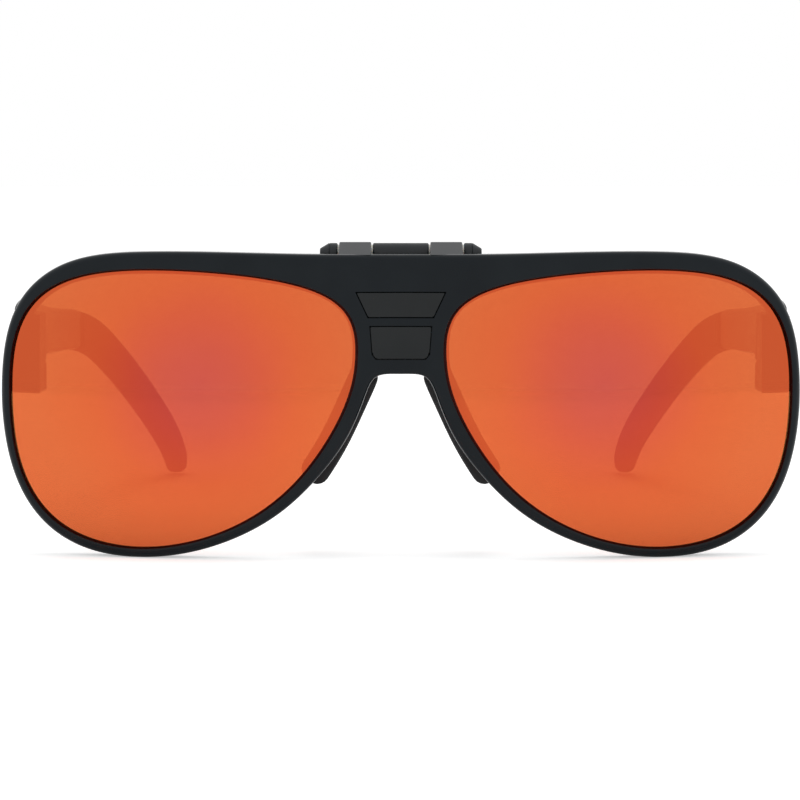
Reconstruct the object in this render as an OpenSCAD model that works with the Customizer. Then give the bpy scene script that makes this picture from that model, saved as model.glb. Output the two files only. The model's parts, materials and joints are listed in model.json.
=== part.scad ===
// Flip-up mountain sunglasses: a lens front hinged to a hidden brow bar that carries the nose pads
// and the temples. +Z is up, the lenses face -Y and the temples run back along +Y. The origin is
// the middle of the bounding box's base. Left and right are the wearer's, so left is +X.

/* [Front] */
// Width of the front over both rims
front_w = 148.4; // [144:0.4:152]
// Height of the front, from the rims' lowest point to the top of the bar
front_h = 56.5; // [55:0.5:58]
// Radius of each lens's curved face
wrap_r = 90; // [88:1:94]
// Thickness of the front moulding
front_t = 4; // [3.8:0.1:4.2]
// Thickness of each lens
lens_t = 2; // [1.8:0.1:2.2]
// Depth of the groove that holds each lens's edge
lens_grip = 0.9; // [0.7:0.1:1]

/* [Brow bar] */
// Thickness of the brow bar behind the front
bar_t = 3.5; // [3.2:0.1:3.8]
// Space between the front and the brow bar
bar_gap = 0.5; // [0.4:0.1:0.7]
// Half the width of each nose pad
pad_half_w = 2.3; // [2:0.1:2.5]
// Angle at which the nose pads open towards the face
pad_splay = 8; // [8:1:15]

/* [Flip hinge] */
// Radius of the lugs on the front
lug_r = 2.2; // [2.1:0.05:2.3]
// Width of each lug
lug_w = 6; // [5:0.2:6.4]
// Half the width of the brow bar's middle knuckle
mid_knuckle = 5.2; // [4.8:0.1:5.4]
// Radius of the hinge pin
pin_r = 0.75; // [0.7:0.05:0.85]

/* [Temples] */
// Distance between the pivots of the two temples
pivot_span = 138; // [137.5:0.1:138.2]
// Radius of the temple hinge barrels
barrel_r = 1.9; // [1.8:0.05:1.95]
// Thickness of the hard temple arms
arm_t = 3.6; // [3.2:0.1:3.6]
// Thickness of the soft ear sleeves
sleeve_t = 4.6; // [4.2:0.1:4.8]
// Radius of the cord hole in the end of each ear sleeve
cord_hole_r = 1.1; // [0.8:0.1:1.2]

/* [Hidden] */
$fn = 48;

gloss_black = [0.10, 0.12, 0.125];
charcoal = [0.16, 0.17, 0.18];
rubber_black = [0.13, 0.13, 0.14];
mirror_orange = [0.87, 0.41, 0.23];
steel = [0.72, 0.73, 0.75];
nylon = [0.85, 0.85, 0.82];

sx = front_w / 148.4;
sz = front_h / 56.5;
// Clearance of a sliding fit, and of a part that beds in its pocket
slip = 0.05;
bed = 0.02;

// y of the front's foremost point, which puts the middle of the whole length at the origin
front_y = -72.65;
wrap_y = front_y + wrap_r;
wrap_z = 28 * sz;

// Each lens bulges round a centre of its own, and a hollow waist joins the two at the bridge
lens_x = 34 * sx;
waist_r = 60;
waist_axis = sqrt(pow(wrap_r + waist_r, 2) - lens_x * lens_x);
lens_out_r = wrap_r - 0.8;
bar_r = wrap_r - front_t - bar_gap;
overlap = 0.5;
inlay_depth = 1;
inlay_fit = 0.15;

// Flip hinge, along x
hinge_y = front_y + 15.4;
hinge_z = front_h - 0.6;
washer_gap = 0.3;
washer_t = washer_gap - 2 * bed;
lug_x = mid_knuckle + washer_gap;
end_knuckle_x = lug_x + lug_w + washer_gap;
knuckle_r = 2;
hinge_end = end_knuckle_x + 3.3;

// Temple hinges, upright
pivot_x = pivot_span / 2;
pivot_y = front_y + 21;
butt_y = pivot_y - 0.15;
screw_r = 0.7;
fork_z = [30, 44.6];
tongue_z = [35.5, 42];
head_r = 1.35;
head_h = 0.8;

// Outlines of the front, as control points of closed smooth curves: x across, z up
lens_points = [[7.5, 37.5], [8.5, 46.5], [20, 52], [49, 54.2], [64.8, 51.5], [72.3, 43], [72.8, 28.3],
               [71.4, 15], [64, 4.1], [48, 0.4], [31, 4.6], [18.3, 13.5], [9.2, 28]];
front_half = [[15, 56], [30, 56.5], [46, 56.8], [62, 56], [72.5, 47.5], [74.5, 34], [74, 22],
              [71.2, 11.6], [65, 3.8], [55, -0.4], [39.5, 0], [25, 5.8], [16.5, 13.3], [9.5, 22],
              [6.4, 30.5], [5, 34.4]];
front_points = concat([[0, 56]], front_half, [[0, 34]], mirrored(front_half));

// The middle lines of a nose pad and of the steel strip in it
pad_points = [[5, 37], [6.1, 33.2], [8.1, 29], [9.9, 25], [12.2, 20.4], [15.4, 15.4], [18, 12]];
pad_core_points = [[3, 43], [4.2, 39], [6.1, 33.2], [8.1, 29], [9.9, 25], [12.2, 20.4], [15.4, 15.4]];
pad_depth = [8, 18];
pad_core_depth = [9.4, 11.8];
stem_z = 34.6;

// Curves of the left temple: y back from the front's foremost point, with z up or with x out
arm_side = [[16, 49], [16, 28.5], [30, 31.2], [42, 35.4], [56, 34.4], [66, 34.6], [79, 33.4],
            [79, 42], [66, 42.8], [50, 44], [34, 45.8]];
sleeve_side = [[60, 38.8], [73, 38.2], [86, 36], [98, 31.2], [110, 25.2], [122, 17.6], [134, 9],
               [141.2, 3.8], [148.4, -1.4]];
temple_plan = [[6, 71.1], [21, 71.2], [36, 71.7], [52, 71], [70, 68.6], [85, 65.9], [97, 63.4],
               [110, 60.2], [122, 56.6], [134, 53], [144, 52], [160, 51.6]];
sleeve_from = 73;
sleeve_half_h = [4.1, 3.3];
core_from = 60;
core_to = 132;
core_half_h = 1.4;
core_half_t = 0.6;
tip = [sleeve_side[7][0], 3.35];

function mirrored(p) = [for (i = [len(p) - 1:-1:0]) [-p[i][0], p[i][1]]];

function blend(a, b, c, d, t) =
    (pow(1 - t, 3) * a + (3 * pow(t, 3) - 6 * t * t + 4) * b
     + (1 + 3 * t + 3 * t * t - 3 * pow(t, 3)) * c + pow(t, 3) * d) / 6;

// A closed cubic B-spline, with n points for each control point
function smooth_loop(p, n) =
    [for (i = [0:len(p) - 1], k = [0:n - 1])
        blend(p[i], p[(i + 1) % len(p)], p[(i + 2) % len(p)], p[(i + 3) % len(p)], k / n)];

// The same curve left open, from beside the second control point to beside the last but one
function smooth_line(p, n) =
    concat([for (i = [0:len(p) - 4], k = [0:n - 1]) blend(p[i], p[i + 1], p[i + 2], p[i + 3], k / n)],
           [blend(p[len(p) - 4], p[len(p) - 3], p[len(p) - 2], p[len(p) - 1], 1)]);

function along(v) = v / norm(v);
function across(v) = [v[1], -v[0]];

// A clockwise loop moved inwards by d
function inset(p, d) =
    [for (i = [0:len(p) - 1])
        p[i] + d * across(along(p[(i + 1) % len(p)] - p[(i + len(p) - 1) % len(p)]))];

function side_of(p, i) = across(along(p[min(i + 1, len(p) - 1)] - p[max(i - 1, 0)]));

// The outline of a band along an open line, whose half width goes evenly from w[0] to w[1]
function band(p, w) =
    let (last = len(p) - 1)
    concat([for (i = [0:last]) p[i] + (w[0] + (w[1] - w[0]) * i / last) * side_of(p, i)],
           [for (i = [last:-1:0]) p[i] - (w[0] + (w[1] - w[0]) * i / last) * side_of(p, i)]);

function sized(p) = [for (q = p) [q[0] * sx, q[1] * sz]];

lens_edge = smooth_loop(sized(lens_points), 7);
front_edge = smooth_loop(sized(front_points), 4);

module on_side(side) {
    if (side > 0) children(); else mirror([1, 0, 0]) children();
}

module both_sides() {
    children();
    mirror([1, 0]) children();
}

// An outline in x and z, carried back along y through the front half of the wrap
module through_front(depth = 60) {
    translate([0, front_y + depth, 0]) rotate([90, 0, 0]) linear_extrude(depth + 3) children();
}

// An outline in y and z, carried across x
module across_x(from, to) {
    translate([from, 0, 0]) rotate([90, 0, 90]) linear_extrude(to - from) children();
}

// The body behind a front face of radius r: two balls and the waist between them
module wrap_solid(r) {
    fillet = waist_r - (r - wrap_r);
    joint_x = lens_x * fillet / (wrap_r + waist_r);
    translate([0, wrap_y, wrap_z]) {
        rotate([0, 90, 0]) rotate_extrude() difference() {
            translate([0, -joint_x]) square([r, 2 * joint_x]);
            translate([waist_axis, 0]) circle(fillet);
        }
        for (side = [-1, 1]) intersection() {
            translate([side * lens_x, 0, 0]) sphere(r);
            translate([side > 0 ? joint_x - overlap : overlap - joint_x - 2 * r, -2 * r, -2 * r])
                cube([2 * r, 4 * r, 4 * r]);
        }
    }
}

// What lies between two such faces, within an outline seen from the front
module shell(r_out, r_in) {
    difference() {
        intersection() {
            wrap_solid(r_out);
            through_front() children();
        }
        wrap_solid(r_in);
    }
}

module lens_solid(grow, thicken) {
    shell(lens_out_r + thicken, lens_out_r - lens_t - thicken) polygon(inset(lens_edge, -grow));
}

// The two panels set into the bridge, each d smaller all round
module upper_panel(d) {
    polygon([[-8.4 + d, 49.2 - d], [8.4 - d, 49.2 - d], [6.1 - d, 44.4 + d], [-6.1 + d, 44.4 + d]]);
}

module lower_panel(d) {
    polygon([[-5.8 + d, 43 - d], [5.8 - d, 43 - d], [5.4 - d, 37.8 + d], [4.6 - d, 36.8 + d],
             [-4.6 + d, 36.8 + d], [-5.4 + d, 37.8 + d]]);
}

module hinge_rod(r, from, to, end_r) {
    translate([from, hinge_y, hinge_z]) rotate([0, 90, 0]) cylinder(r1 = r, r2 = end_r, h = to - from);
}

// A plate across x whose outline is given from the flip hinge's axis, in y and z
module hinge_plate(points, from, to) {
    translate([0, hinge_y, hinge_z]) across_x(from, to) polygon(points);
}

module front_lug() {
    hinge_rod(lug_r, lug_x, lug_x + lug_w, lug_r);
    hinge_plate([[-6.9, -3.4], [-6.9, 0], [-0.75, 2.06], [0, 0], [-0.6, -2.1], [-2.4, -2.2],
                  [-4.4, -2.9]],
                lug_x, lug_x + lug_w);
}

module front_frame() {
    color(gloss_black) difference() {
        union() {
            shell(wrap_r, wrap_r - front_t) difference() {
                polygon(front_edge);
                both_sides() polygon(lens_edge);
            }
            for (side = [-1, 1]) on_side(side) front_lug();
        }
        for (side = [-1, 1]) on_side(side) lens_solid(lens_grip + bed, bed);
        shell(wrap_r + 1, wrap_r - inlay_depth) {
            upper_panel(0);
            lower_panel(0);
        }
        hinge_rod(pin_r + slip, -hinge_end, hinge_end, pin_r + slip);
    }
}

module lens(side) {
    color(mirror_orange) on_side(side) lens_solid(lens_grip, 0);
}

module bridge_inlay_upper() {
    color(charcoal) shell(wrap_r - 0.1, wrap_r - inlay_depth) upper_panel(inlay_fit);
}

module bridge_inlay_lower() {
    color(charcoal) shell(wrap_r - 0.1, wrap_r - inlay_depth) lower_panel(inlay_fit);
}

// The brow bar's outline: the front's upper part, a little smaller, with a stem to the nose pads
module bar_outline() {
    difference() {
        polygon(inset(front_edge, 1));
        both_sides() polygon(inset(lens_edge, 1));
        translate([-front_w, -1]) square([2 * front_w, fork_z[0] + 1]);
        translate([-30, 0]) square([60, stem_z]);
        translate([-hinge_end - 0.6, hinge_z - 3]) square([2 * hinge_end + 1.2, 10]);
    }
}

module end_piece_plan() {
    polygon([[67.1, front_y], [72.4, front_y], [73, butt_y - 0.1], [71.3, butt_y - 0.1],
             [71.3, pivot_y - 2.3], [67.1, pivot_y - 2.3]]);
}

module end_piece() {
    intersection() {
        wrap_solid(bar_r);
        translate([0, 0, fork_z[0]]) linear_extrude(fork_z[1] - fork_z[0]) end_piece_plan();
    }
    fork_ear(fork_z[0], tongue_z[0] - washer_gap);
    fork_ear(tongue_z[1] + washer_gap, fork_z[1]);
}

module fork_ear(from, to) {
    translate([pivot_x, pivot_y, from]) {
        cylinder(r = barrel_r, h = to - from);
        translate([-barrel_r, -3, 0]) cube([2 * barrel_r, 3, to - from]);
        translate([0, -3, 0]) cube([2.6, 2.75, to - from]);
    }
}

module bar_knuckle(from, to) {
    hinge_plate([[-1.95, 0.3], [-2.7, -3.2], [-2.7, -6], [0.8, -6], [1.95, 0]], from, to);
}

module brow_bar() {
    color(gloss_black) difference() {
        union() {
            shell(bar_r, bar_r - bar_t) bar_outline();
            hinge_rod(knuckle_r, -mid_knuckle, mid_knuckle, knuckle_r);
            bar_knuckle(-mid_knuckle, mid_knuckle);
            for (side = [-1, 1]) on_side(side) {
                end_piece();
                bar_knuckle(end_knuckle_x, end_knuckle_x + 1.6);
                hinge_rod(knuckle_r, end_knuckle_x, end_knuckle_x + 1.6, knuckle_r);
                hinge_rod(knuckle_r, end_knuckle_x + 1.6, hinge_end, 1);
            }
        }
        hinge_rod(pin_r, -hinge_end - 1, hinge_end + 1, pin_r);
        for (side = [-1, 1]) on_side(side) {
            nose_pad_solid(bed);
            nose_core_solid(bed);
            translate([pivot_x, pivot_y, fork_z[0] - 1]) cylinder(r = screw_r, h = 30);
            translate([pivot_x, pivot_y, fork_z[1] - head_h]) cylinder(r = head_r + slip, h = 2);
        }
    }
}

module flip_pin() {
    color(steel) hinge_rod(pin_r, -hinge_end + 0.1, hinge_end - 0.1, pin_r);
}

module flip_washers() {
    color(nylon) for (side = [-1, 1]) on_side(side)
        for (x = [mid_knuckle, lug_x + lug_w]) difference() {
            hinge_rod(1.7, x + bed, x + bed + washer_t, 1.7);
            hinge_rod(pin_r + slip, x - 1, x + 1, pin_r + slip);
        }
}

// A band along a smooth line in x and z, between two depths behind the front and turned outwards
module nose_strip(points, half_w, depth, fit, round_ends) {
    line = smooth_line(points, 4);
    swing = [8, front_y + pad_depth[0], 0];
    translate(swing) rotate([0, 0, -pad_splay]) translate(-swing)
        translate([0, front_y + depth[1] + fit, 0]) rotate([90, 0, 0])
            linear_extrude(depth[1] - depth[0] + 2 * fit) {
                polygon(band(line, [half_w + fit, half_w + fit]));
                if (round_ends) for (end = [line[0], line[len(line) - 1]])
                    translate(end) circle(half_w + fit);
            }
}

module nose_pad_solid(fit) {
    intersection() {
        nose_strip(pad_points, pad_half_w, pad_depth, fit, true);
        translate([0, front_y + pad_depth[0] - fit, 0]) cube([40, 40, 60]);
    }
}

module nose_core_solid(fit) {
    nose_strip(pad_core_points, 0.5, pad_core_depth, fit, false);
}

module nose_pad(side) {
    color(rubber_black) on_side(side) difference() {
        nose_pad_solid(0);
        nose_core_solid(bed);
    }
}

module nose_core(side) {
    color(steel) on_side(side) nose_core_solid(0);
}

// What a temple's plan covers, with half thickness w
module plan_slab(w) {
    translate([0, front_y, -5]) linear_extrude(70)
        polygon([for (q = band(smooth_line(temple_plan, 4), [w, w])) [q[1], q[0]]]);
}

// What an outline in y and z covers across the left temple, y being counted from the front
module side_slab() {
    translate([0, front_y, 0]) across_x(40, 80) children();
}

// A slice of the temple's length
module y_slice(from, to) {
    translate([0, from, -10]) cube([100, to - from, 80]);
}

module core_solid(fit) {
    intersection() {
        plan_slab(core_half_t + fit);
        side_slab() polygon(band(smooth_line(sleeve_side, 4), [core_half_h + fit, core_half_h + fit]));
        y_slice(front_y + core_from - fit, front_y + core_to + fit);
    }
}

module temple_tongue() {
    translate([pivot_x, pivot_y, tongue_z[0]]) {
        cylinder(r = barrel_r, h = tongue_z[1] - tongue_z[0]);
        translate([0, butt_y - pivot_y, 0]) cube([3.4, 1.9, tongue_z[1] - tongue_z[0]]);
    }
}

module temple_arm(side) {
    color(charcoal) on_side(side) difference() {
        union() {
            difference() {
                intersection() {
                    plan_slab(arm_t / 2);
                    side_slab() polygon(smooth_loop(arm_side, 4));
                    y_slice(butt_y, front_y + sleeve_from);
                }
                translate([pivot_x, pivot_y, 20]) cylinder(r = barrel_r + 0.15, h = 40);
            }
            temple_tongue();
        }
        translate([pivot_x, pivot_y, 20]) cylinder(r = screw_r + slip, h = 40);
        core_solid(bed);
    }
}

module temple_core(side) {
    color(steel) on_side(side) core_solid(0);
}

module ear_sleeve(side) {
    color(rubber_black) on_side(side) difference() {
        intersection() {
            plan_slab(sleeve_t / 2);
            side_slab() {
                polygon(band(smooth_line(sleeve_side, 4), sleeve_half_h));
                translate(tip) circle(sleeve_half_h[1]);
            }
            y_slice(front_y + sleeve_from, front_y + 160);
        }
        core_solid(bed);
        translate([30, front_y + tip[0], tip[1]]) rotate([0, 90, 0]) cylinder(r = cord_hole_r, h = 50);
    }
}

module hinge_screw(side) {
    color(steel) on_side(side) translate([pivot_x, pivot_y, fork_z[0] + 0.3]) difference() {
        union() {
            cylinder(r = screw_r, h = fork_z[1] - fork_z[0] - 0.6);
            translate([0, 0, fork_z[1] - fork_z[0] - 0.3 - head_h]) cylinder(r = head_r, h = head_h - 0.1);
        }
        translate([-2, -0.2, fork_z[1] - fork_z[0] - 0.3 - 0.5]) cube([4, 0.4, 2]);
    }
}

module hinge_washers(side) {
    color(nylon) on_side(side) for (z = [tongue_z[0] - washer_gap, tongue_z[1]])
        translate([pivot_x, pivot_y, z + bed]) difference() {
            cylinder(r = barrel_r - 0.2, h = washer_t);
            translate([0, 0, -1]) cylinder(r = screw_r + slip, h = 3);
        }
}

front_frame();
lens(1);  // lens_left
lens(-1);  // lens_right
bridge_inlay_upper();
bridge_inlay_lower();
brow_bar();
flip_pin();
flip_washers();
nose_pad(1);  // nose_pad_left
nose_pad(-1);  // nose_pad_right
nose_core(1);  // nose_core_left
nose_core(-1);  // nose_core_right
temple_arm(1);  // temple_arm_left
temple_arm(-1);  // temple_arm_right
temple_core(1);  // temple_core_left
temple_core(-1);  // temple_core_right
ear_sleeve(1);  // ear_sleeve_left
ear_sleeve(-1);  // ear_sleeve_right
hinge_screw(1);  // hinge_screw_left
hinge_screw(-1);  // hinge_screw_right
hinge_washers(1);  // hinge_washers_left
hinge_washers(-1);  // hinge_washers_right
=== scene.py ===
# %% [markdown]
# # Flip-up mountain sunglasses
#
# The real object is a black lens front with two orange mirrored lenses. It is hinged to a hidden
# brow bar, which carries the nose pads and the two folding temples. This notebook builds the looks
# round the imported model: every visible moulding gets a mesh of its own with rounded edges, and every
# carried-over metal or nylon part gets a better material.

# %% Load the frame
import json
import math

import bmesh
import bpy
import numpy as np
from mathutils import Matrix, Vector
from mathutils.geometry import delaunay_2d_cdt


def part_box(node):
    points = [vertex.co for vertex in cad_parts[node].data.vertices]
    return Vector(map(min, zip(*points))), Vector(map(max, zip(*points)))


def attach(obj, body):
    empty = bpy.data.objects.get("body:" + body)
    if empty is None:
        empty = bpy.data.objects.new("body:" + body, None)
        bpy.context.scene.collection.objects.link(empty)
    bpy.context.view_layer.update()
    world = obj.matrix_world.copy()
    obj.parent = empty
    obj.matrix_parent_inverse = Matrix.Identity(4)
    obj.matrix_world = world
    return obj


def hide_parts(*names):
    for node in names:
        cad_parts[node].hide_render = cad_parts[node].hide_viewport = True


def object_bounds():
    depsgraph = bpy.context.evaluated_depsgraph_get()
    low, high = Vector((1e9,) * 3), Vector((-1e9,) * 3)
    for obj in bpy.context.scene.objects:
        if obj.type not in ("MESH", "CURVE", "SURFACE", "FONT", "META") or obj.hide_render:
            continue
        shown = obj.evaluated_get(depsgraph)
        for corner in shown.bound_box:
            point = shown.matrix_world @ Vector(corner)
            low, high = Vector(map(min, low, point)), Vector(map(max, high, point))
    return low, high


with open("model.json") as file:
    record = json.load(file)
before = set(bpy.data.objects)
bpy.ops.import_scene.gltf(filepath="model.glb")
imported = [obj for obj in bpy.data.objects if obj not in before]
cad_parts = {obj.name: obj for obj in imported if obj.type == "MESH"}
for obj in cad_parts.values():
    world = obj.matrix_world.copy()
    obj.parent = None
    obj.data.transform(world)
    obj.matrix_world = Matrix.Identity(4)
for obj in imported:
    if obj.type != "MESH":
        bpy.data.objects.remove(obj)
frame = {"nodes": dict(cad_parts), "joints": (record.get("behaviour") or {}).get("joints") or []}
cad_box = [list(corner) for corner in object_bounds()]
print("CAD box in mm:", [[round(1000 * v, 2) for v in corner] for corner in cad_box])

# %% [markdown]
# ## Driving dimensions
#
# A mould maker would draw the front as flat outlines and then press them onto a curved face. The
# same is done here: outlines are control points of smooth curves, in millimetres, x across and z up,
# and one formula gives the curved face's depth y at any x and z. Depths are counted from the front's
# foremost point, which the frame gives, so a new CAD size moves everything along.

# %% Outlines and radii, in millimetres
MM = 0.001
LENS_POINTS = [(7.5, 37.5), (8.5, 46.5), (20, 52), (49, 54.2), (64.8, 51.5), (72.3, 43), (72.8, 28.3),
               (71.4, 15), (64, 4.1), (48, 0.4), (31, 4.6), (18.3, 13.5), (9.2, 28)]
FRONT_HALF = [(15, 56), (30, 56.5), (46, 56.8), (62, 56), (72.5, 47.5), (74.5, 34), (74, 22),
              (71.2, 11.6), (65, 3.8), (55, -0.4), (39.5, 0), (25, 5.8), (16.5, 13.3), (9.5, 22),
              (6.4, 30.5), (5, 34.4)]
WRAP_R, FRONT_T, LENS_T, LENS_SINK, LENS_GRIP = 90.0, 4.0, 2.0, 0.8, 0.9
BAR_GAP, BAR_T = 0.5, 3.5
LENS_X, WRAP_Z, WAIST_R = 34.0, 28.0, 60.0
WAIST_AXIS = math.sqrt((WRAP_R + WAIST_R) ** 2 - LENS_X ** 2)

lens_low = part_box("lens_left")[0]
FRONT_Y = lens_low.y / MM - LENS_SINK
WRAP_Y = FRONT_Y + WRAP_R
joints = {joint["name"]: joint for joint in frame["joints"]}
FLIP_Y, FLIP_Z = (v / MM for v in joints["flip"]["pos_m"][1:])
PIVOT_X, PIVOT_Y = (v / MM for v in joints["fold_left"]["pos_m"][:2])
print("front starts at y", round(FRONT_Y, 2), "flip axis at", round(FLIP_Y, 2), round(FLIP_Z, 2))

# %% Smooth curves through control points
def blend(a, b, c, d, t):
    """One point of a uniform cubic B-spline."""
    return ((1 - t) ** 3 * a + (3 * t ** 3 - 6 * t * t + 4) * b
            + (1 + 3 * t + 3 * t * t - 3 * t ** 3) * c + t ** 3 * d) / 6


def smooth_loop(points, n):
    p = [np.array(q, float) for q in points]
    count = len(p)
    return np.array([blend(*(p[(i + k) % count] for k in range(4)), t)
                     for i in range(count) for t in np.arange(n) / n])


def smooth_line(points, n):
    p = [np.array(q, float) for q in points]
    inner = [blend(*p[i:i + 4], t) for i in range(len(p) - 3) for t in np.arange(n) / n]
    return np.array(inner + [blend(*p[-4:], 1)])


def left_normals(loop):
    """Unit normals to the left of travel: outwards, for a clockwise loop."""
    tangent = np.roll(loop, -1, 0) - np.roll(loop, 1, 0)
    tangent /= np.linalg.norm(tangent, axis=1)[:, None]
    return np.stack([-tangent[:, 1], tangent[:, 0]], 1)


mirrored_half = [(-x, z) for x, z in reversed(FRONT_HALF)]
LENS_EDGE = smooth_loop(LENS_POINTS, 24)
FRONT_EDGE = smooth_loop([(0, 56)] + FRONT_HALF + [(0, 34)] + mirrored_half, 24)
print("lens opening", np.ptp(LENS_EDGE, axis=0).round(1), "front", np.ptp(FRONT_EDGE, axis=0).round(1))

# %% [markdown]
# ## The curved face
#
# Each lens bulges round its own centre, like a piece of a ball of 90 mm radius, and a hollow waist
# joins the two balls at the bridge. Turning that profile about a level axis gives one smooth face
# for everything: the front's outside is at the full radius, the lens a little less, the brow bar
# less again. So a thickness is simply a smaller radius, and parts nest with an even gap.

# %% Depth of the face at x and z
def face_y(x, z, radius):
    """y of the face of that radius, in millimetres, for arrays of x and z."""
    x, z, radius = np.broadcast_arrays(*(np.asarray(v, float) for v in (np.abs(x), z, radius)))
    fillet = WAIST_R - (radius - WRAP_R)
    joint = LENS_X * fillet / (WRAP_R + WAIST_R)
    ball = np.sqrt(np.maximum(radius ** 2 - (x - LENS_X) ** 2, 1))
    waist = WAIST_AXIS - np.sqrt(np.maximum(fillet ** 2 - np.minimum(x, joint) ** 2, 1))
    profile = np.where(x > joint, ball, waist)
    return WRAP_Y - np.sqrt(np.maximum(profile ** 2 - (z - WRAP_Z) ** 2, 1))


print("bridge lies back by", round(float(face_y(0, WRAP_Z, WRAP_R) - FRONT_Y), 2), "mm")

# %% Making a piece
def new_piece(name, bm, body, material, nodes=(), smooth_angle=35):
    """A named object from a bmesh in millimetres, riding on its body."""
    bmesh.ops.scale(bm, vec=(MM, MM, MM), verts=bm.verts)
    # A smooth edge may bulge a hair past the modelled one, so it is held to the model's size
    for vertex in bm.verts:
        vertex.co = [min(max(v, low), high) for v, low, high in zip(vertex.co, *cad_box)]
    bmesh.ops.recalc_face_normals(bm, faces=bm.faces)
    mesh = bpy.data.meshes.new(name)
    bm.to_mesh(mesh)
    bm.free()
    piece = bpy.data.objects.new(name, mesh)
    bpy.context.scene.collection.objects.link(piece)
    mesh.materials.append(material)
    mesh.shade_smooth()
    mesh.set_sharp_from_angle(angle=math.radians(smooth_angle))
    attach(piece, body)
    if nodes:
        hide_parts(*nodes)
    print(name, "has", len(mesh.vertices), "vertices and", len(mesh.polygons), "faces")
    return piece


def stitch(bm, rows, closed_rows=False, closed_columns=False):
    """Quads between neighbouring rows of vertices."""
    count = len(rows)
    for i in range(count if closed_rows else count - 1):
        a, b = rows[i], rows[(i + 1) % count]
        width = len(a)
        for j in range(width if closed_columns else width - 1):
            corners = [a[j], a[(j + 1) % width], b[(j + 1) % width], b[j]]
            corners = [v for k, v in enumerate(corners) if v not in corners[:k]]
            if len(corners) > 2:
                bm.faces.new(corners)


def mirror_half(bm):
    """Adds the other half of a mesh that meets the plane x = 0."""
    copy = bmesh.ops.duplicate(bm, geom=bm.verts[:] + bm.edges[:] + bm.faces[:])["geom"]
    bmesh.ops.scale(bm, vec=(-1, 1, 1), verts=[v for v in copy if isinstance(v, bmesh.types.BMVert)])
    bmesh.ops.reverse_faces(bm, faces=[f for f in copy if isinstance(f, bmesh.types.BMFace)])
    bmesh.ops.remove_doubles(bm, verts=bm.verts, dist=1e-4)


def flip_sides(bm):
    """Turns a left-hand piece into the right-hand one."""
    bmesh.ops.scale(bm, vec=(-1, 1, 1), verts=bm.verts)
    bmesh.ops.reverse_faces(bm, faces=bm.faces)

# %% [markdown]
# ## Finishes
#
# Each finish is a small function. A moulding is never one flat colour: polish varies a little, fine
# grain catches the light, and rubber is duller than the gloss plastic beside it. Noise works on
# object coordinates, so a texture keeps its scale and moves with its piece.

# %% Helpers for finishes
def start_finish(name):
    material = bpy.data.materials.new(name)
    material.use_nodes = True
    nodes, links = material.node_tree.nodes, material.node_tree.links
    return material, nodes, links, nodes["Principled BSDF"]


def object_noise(nodes, links, scale, detail=3.0, stretch=(1, 1, 1)):
    """Noise of about 1/scale metres, in the object's own coordinates."""
    place = nodes.new("ShaderNodeTexCoord")
    mapping = nodes.new("ShaderNodeMapping")
    mapping.inputs["Scale"].default_value = stretch
    noise = nodes.new("ShaderNodeTexNoise")
    noise.inputs["Scale"].default_value = scale
    noise.inputs["Detail"].default_value = detail
    links.new(place.outputs["Object"], mapping.inputs["Vector"])
    links.new(mapping.outputs["Vector"], noise.inputs["Vector"])
    return noise.outputs["Fac"]


def ramp(nodes, links, fac, stops):
    """A colour ramp over fac, from (position, colour) pairs."""
    node = nodes.new("ShaderNodeValToRGB")
    elements = node.color_ramp.elements
    while len(elements) < len(stops):
        elements.new(0.5)
    for element, (position, colour) in zip(elements, stops):
        element.position = position
        element.color = (*colour, 1)
    links.new(fac, node.inputs["Fac"])
    return node.outputs["Color"]


def spread(nodes, links, fac, low, high):
    node = nodes.new("ShaderNodeMapRange")
    node.inputs["From Min"].default_value = 0.3
    node.inputs["From Max"].default_value = 0.7
    node.inputs["To Min"].default_value = low
    node.inputs["To Max"].default_value = high
    links.new(fac, node.inputs["Value"])
    return node.outputs["Result"]


def bump(nodes, links, fac, depth_mm, shader):
    node = nodes.new("ShaderNodeBump")
    node.inputs["Distance"].default_value = depth_mm * MM
    node.inputs["Strength"].default_value = 1.0
    links.new(fac, node.inputs["Height"])
    links.new(node.outputs["Normal"], shader.inputs["Normal"])


def moulded(name, dark, light, roughness, grain_scale, grain_mm, specular):
    """Moulded plastic or rubber: two close tones, uneven polish and a fine grain."""
    material, nodes, links, shader = start_finish(name)
    broad = object_noise(nodes, links, 90, 4)
    links.new(ramp(nodes, links, broad, [(0.35, dark), (0.65, light)]), shader.inputs["Base Color"])
    links.new(spread(nodes, links, object_noise(nodes, links, 260, 5), *roughness),
              shader.inputs["Roughness"])
    bump(nodes, links, object_noise(nodes, links, grain_scale, 2), grain_mm, shader)
    shader.inputs["Specular IOR Level"].default_value = specular
    return material


# %% Plastic and rubber
gloss_black = moulded("polished_black_plastic", (0.0020, 0.0048, 0.0075), (0.0042, 0.0078, 0.0108),
                      (0.07, 0.14), 700, 0.002, specular=0.19)
satin_black = moulded("satin_black_plastic", (0.006, 0.0085, 0.0105), (0.010, 0.013, 0.0155),
                      (0.34, 0.46), 2600, 0.006, specular=0.36)
panel_black = moulded("fine_matt_plastic", (0.0036, 0.0056, 0.0064), (0.0066, 0.0086, 0.0094),
                      (0.18, 0.28), 4200, 0.004, specular=0.30)
arm_black = moulded("polished_arm_plastic", (0.007, 0.008, 0.009), (0.012, 0.013, 0.014),
                    (0.14, 0.24), 900, 0.003, specular=0.45)
soft_rubber = moulded("soft_touch_rubber", (0.010, 0.010, 0.011), (0.019, 0.019, 0.020),
                      (0.62, 0.78), 3200, 0.012, specular=0.35)
print("mouldings:", [m.name for m in (gloss_black, satin_black, panel_black, arm_black, soft_rubber)])

# %% [markdown]
# ## Metal and nylon
#
# Pins and screws are turned stainless steel, so their noise is stretched round the turning marks.
# The washers are natural nylon, which is slightly see-through: a little subsurface does that.

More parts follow.
